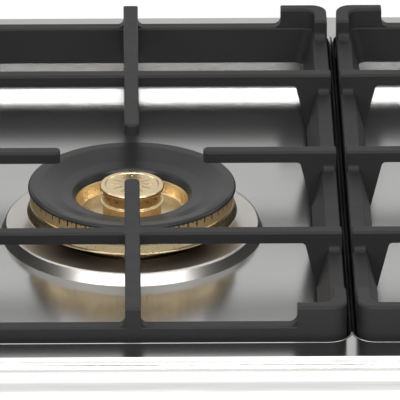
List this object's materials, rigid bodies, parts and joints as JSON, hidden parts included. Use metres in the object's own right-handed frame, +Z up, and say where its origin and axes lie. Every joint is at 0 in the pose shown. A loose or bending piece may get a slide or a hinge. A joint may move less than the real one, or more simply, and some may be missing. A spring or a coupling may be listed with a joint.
{
  "type": "gas cooktop",
  "caption": "Built-in gas cooktop with three deep wells, full-depth cast pan supports, brass burners with black caps, and a front panel of push-and-turn knobs.",
  "frame": {"origin": "middle of the overall width and depth, on the surface that the feet stand on", "axes": "+X to the right seen from the front, +Y to the back, +Z up"},
  "size_m": [0.914, 0.641, 0.2003],
  "materials": {
    "stainless_worktop": "fine satin, pressed and polished sheet",
    "stainless_panel": "fine brushed sheet",
    "stainless_dish": "bright pressed stainless steel",
    "enamelled_iron": "matt black vitreous enamel",
    "black_enamel": "matt black vitreous enamel on steel",
    "burner_brass": "turned and polished brass",
    "gas_brass": "machined brass",
    "cast_aluminium": "die cast",
    "aluminium_tube": "drawn tube",
    "galvanised_sheet": "galvanised sheet",
    "knob_steel": "turned stainless steel",
    "bezel_black": "satin black moulding",
    "spindle_steel": "ground steel",
    "pad_rubber": "moulded silicone rubber",
    "foot_rubber": "moulded rubber",
    "ceramic": "glazed ceramic insulator",
    "probe_steel": "heat-stained steel",
    "nylon": "moulded nylon",
    "module_plastic": "moulded flame-retardant plastic"
  },
  "bodies": {
    "casing": {"bottom_tray": "galvanised_sheet", "cable_gland": "nylon", "casing_screws": "spindle_steel", "center_burner_cup": "cast_aluminium", "center_spill_dish": "stainless_dish", "feet": "foot_rubber", "flame_probes": "probe_steel", "front_panel": "stainless_panel", "gas_inlet": "gas_brass", "gas_manifold": "galvanised_sheet", "gas_supply_pipe": "galvanised_sheet", "gas_tubes": "aluminium_tube", "injectors": "gas_brass", "knob_bezels": "bezel_black", "manifold_brackets": "galvanised_sheet", "rear_panel": "galvanised_sheet", "side_burner_cups": "cast_aluminium", "side_panel_left": "galvanised_sheet", "side_panel_right": "galvanised_sheet", "side_spill_dishes": "stainless_dish", "spark_electrodes": "ceramic", "spark_module": "module_plastic", "terminal_box": "nylon", "valve_bodies": "gas_brass", "worktop": "stainless_worktop"},
    "left_support": {"pan_support_left": "enamelled_iron", "support_pads_left": "pad_rubber"},
    "center_support": {"pan_support_center": "enamelled_iron", "support_pads_center": "pad_rubber"},
    "right_support": {"pan_support_right": "enamelled_iron", "support_pads_right": "pad_rubber"},
    "center_head": {"center_burner_head": "burner_brass"},
    "center_ring_cap": {"center_ring_cap": "black_enamel"},
    "center_inner_cap": {"center_inner_cap": "burner_brass"},
    "left_front_head": {"left_front_burner_head": "burner_brass"},
    "left_front_cap": {"left_front_burner_cap": "black_enamel"},
    "left_rear_head": {"left_rear_burner_head": "burner_brass"},
    "left_rear_cap": {"left_rear_burner_cap": "black_enamel"},
    "right_front_head": {"right_front_burner_head": "burner_brass"},
    "right_front_cap": {"right_front_burner_cap": "black_enamel"},
    "right_rear_head": {"right_rear_burner_head": "burner_brass"},
    "right_rear_cap": {"right_rear_burner_cap": "black_enamel"},
    "left_rear_valve": {"left_rear_valve_plug": "gas_brass"},
    "left_rear_control": {"left_rear_spindle": "spindle_steel", "left_rear_knob": "knob_steel"},
    "left_front_valve": {"left_front_valve_plug": "gas_brass"},
    "left_front_control": {"left_front_spindle": "spindle_steel", "left_front_knob": "knob_steel"},
    "center_valve": {"center_valve_plug": "gas_brass"},
    "center_control": {"center_spindle": "spindle_steel", "center_knob": "knob_steel"},
    "right_front_valve": {"right_front_valve_plug": "gas_brass"},
    "right_front_control": {"right_front_spindle": "spindle_steel", "right_front_knob": "knob_steel"},
    "right_rear_valve": {"right_rear_valve_plug": "gas_brass"},
    "right_rear_control": {"right_rear_spindle": "spindle_steel", "right_rear_knob": "knob_steel"}
  },
  "joints": [
    {"name": "left_support_lift", "type": "slide", "parent": "casing", "child": "left_support", "axis": [0, 0, 1], "range_m": [0, 0.06]},
    {"name": "center_support_lift", "type": "slide", "parent": "casing", "child": "center_support", "axis": [0, 0, 1], "range_m": [0, 0.06]},
    {"name": "right_support_lift", "type": "slide", "parent": "casing", "child": "right_support", "axis": [0, 0, 1], "range_m": [0, 0.06]},
    {"name": "center_head_lift", "type": "slide", "parent": "casing", "child": "center_head", "axis": [0, 0, 1], "range_m": [0, 0.008]},
    {"name": "center_ring_cap_lift", "type": "slide", "parent": "center_head", "child": "center_ring_cap", "axis": [0, 0, 1], "range_m": [0, 0.005]},
    {"name": "center_inner_cap_lift", "type": "slide", "parent": "center_head", "child": "center_inner_cap", "axis": [0, 0, 1], "range_m": [0, 0.005]},
    {"name": "left_front_head_lift", "type": "slide", "parent": "casing", "child": "left_front_head", "axis": [0, 0, 1], "range_m": [0, 0.008]},
    {"name": "left_front_cap_lift", "type": "slide", "parent": "left_front_head", "child": "left_front_cap", "axis": [0, 0, 1], "range_m": [0, 0.005]},
    {"name": "left_rear_head_lift", "type": "slide", "parent": "casing", "child": "left_rear_head", "axis": [0, 0, 1], "range_m": [0, 0.008]},
    {"name": "left_rear_cap_lift", "type": "slide", "parent": "left_rear_head", "child": "left_rear_cap", "axis": [0, 0, 1], "range_m": [0, 0.005]},
    {"name": "right_front_head_lift", "type": "slide", "parent": "casing", "child": "right_front_head", "axis": [0, 0, 1], "range_m": [0, 0.008]},
    {"name": "right_front_cap_lift", "type": "slide", "parent": "right_front_head", "child": "right_front_cap", "axis": [0, 0, 1], "range_m": [0, 0.005]},
    {"name": "right_rear_head_lift", "type": "slide", "parent": "casing", "child": "right_rear_head", "axis": [0, 0, 1], "range_m": [0, 0.008]},
    {"name": "right_rear_cap_lift", "type": "slide", "parent": "right_rear_head", "child": "right_rear_cap", "axis": [0, 0, 1], "range_m": [0, 0.005]},
    {"name": "left_rear_valve_turn", "type": "hinge", "parent": "casing", "child": "left_rear_valve", "pos_m": [-0.338, -0.276, 0.096], "axis": [0, -1, 0], "range_deg": [0, 270]},
    {"name": "left_rear_knob_push", "type": "slide", "parent": "left_rear_valve", "child": "left_rear_control", "axis": [0, 1, 0], "range_m": [0, 0.003], "stiffness_N_per_m": 1200},
    {"name": "left_front_valve_turn", "type": "hinge", "parent": "casing", "child": "left_front_valve", "pos_m": [-0.242, -0.276, 0.096], "axis": [0, -1, 0], "range_deg": [0, 270]},
    {"name": "left_front_knob_push", "type": "slide", "parent": "left_front_valve", "child": "left_front_control", "axis": [0, 1, 0], "range_m": [0, 0.003], "stiffness_N_per_m": 1200},
    {"name": "center_valve_turn", "type": "hinge", "parent": "casing", "child": "center_valve", "pos_m": [0, -0.276, 0.096], "axis": [0, -1, 0], "range_deg": [0, 240]},
    {"name": "center_knob_push", "type": "slide", "parent": "center_valve", "child": "center_control", "axis": [0, 1, 0], "range_m": [0, 0.003], "stiffness_N_per_m": 1200},
    {"name": "right_front_valve_turn", "type": "hinge", "parent": "casing", "child": "right_front_valve", "pos_m": [0.242, -0.276, 0.096], "axis": [0, -1, 0], "range_deg": [0, 270]},
    {"name": "right_front_knob_push", "type": "slide", "parent": "right_front_valve", "child": "right_front_control", "axis": [0, 1, 0], "range_m": [0, 0.003], "stiffness_N_per_m": 1200},
    {"name": "right_rear_valve_turn", "type": "hinge", "parent": "casing", "child": "right_rear_valve", "pos_m": [0.338, -0.276, 0.096], "axis": [0, -1, 0], "range_deg": [0, 270]},
    {"name": "right_rear_knob_push", "type": "slide", "parent": "right_rear_valve", "child": "right_rear_control", "axis": [0, 1, 0], "range_m": [0, 0.003], "stiffness_N_per_m": 1200}
  ]
}
